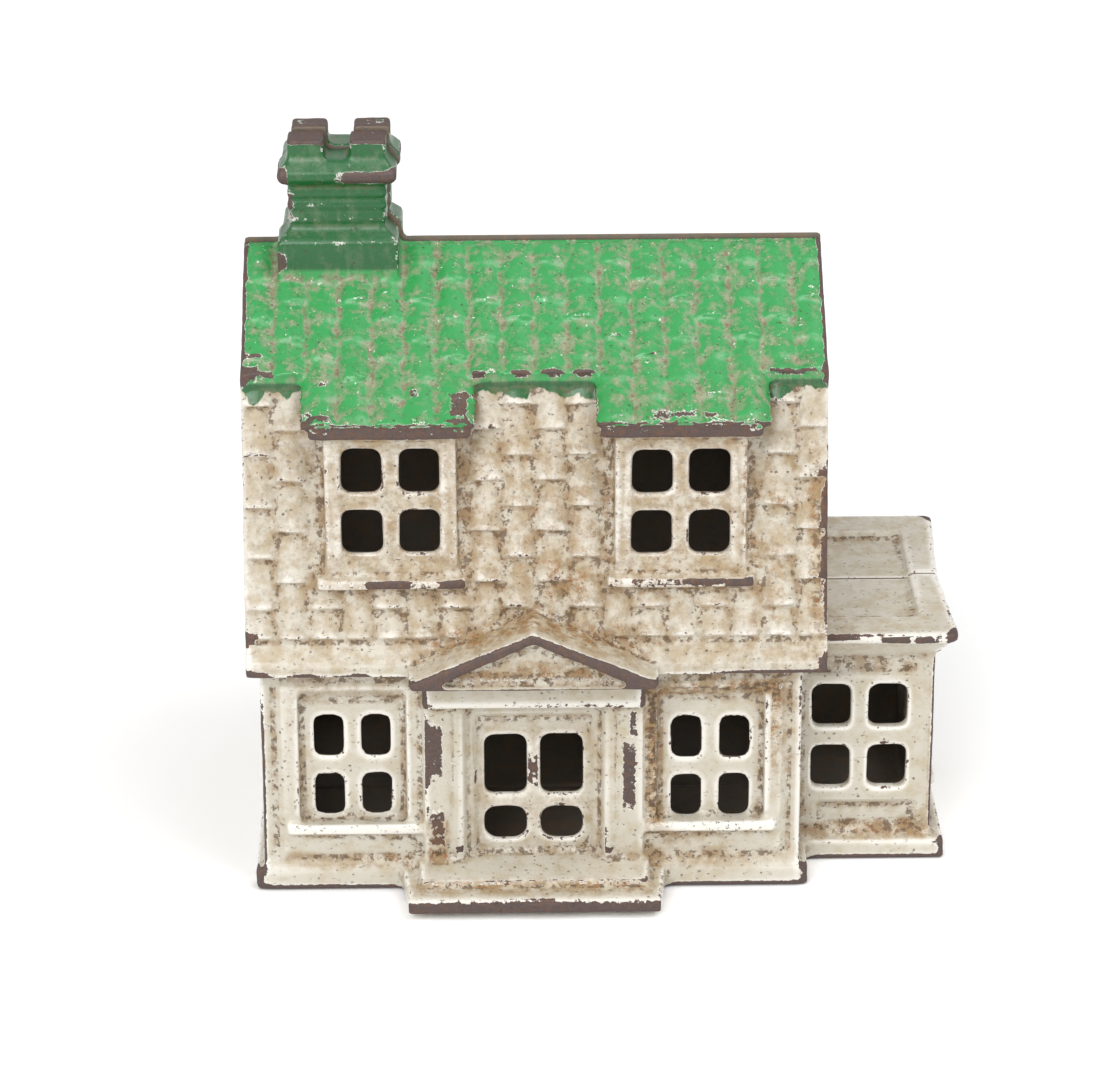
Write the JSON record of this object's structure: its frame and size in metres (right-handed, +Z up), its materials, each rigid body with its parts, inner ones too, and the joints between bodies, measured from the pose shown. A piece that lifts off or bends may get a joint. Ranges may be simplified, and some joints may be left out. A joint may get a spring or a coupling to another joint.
{
  "type": "cast iron still bank",
  "caption": "House-shaped coin bank cast in two hollow iron halves held by one long screw, with a coin slot in the rear roof.",
  "frame": {"origin": "on the ground, under the middle of the bank's box", "axes": "+X along the ridge towards the sun porch, +Y towards the back of the house, +Z up"},
  "size_m": [0.0984, 0.0664, 0.1027],
  "materials": {
    "painted_front": "worn cream and green paint over cast iron",
    "painted_back": "worn cream and green paint over cast iron",
    "screw_steel": "dark and slightly rusted"
  },
  "bodies": {
    "front": {"front_casting": "painted_front"},
    "back": {"back_casting": "painted_back"},
    "screw": {"assembly_screw": "screw_steel"}
  },
  "joints": [
    {"name": "back_lift_off", "type": "slide", "parent": "front", "child": "back", "axis": [0, 1, 0], "range_m": [0, 0.06]},
    {"name": "screw_out", "type": "slide", "parent": "back", "child": "screw", "axis": [0, 1, 0], "range_m": [0, 0.06]}
  ]
}
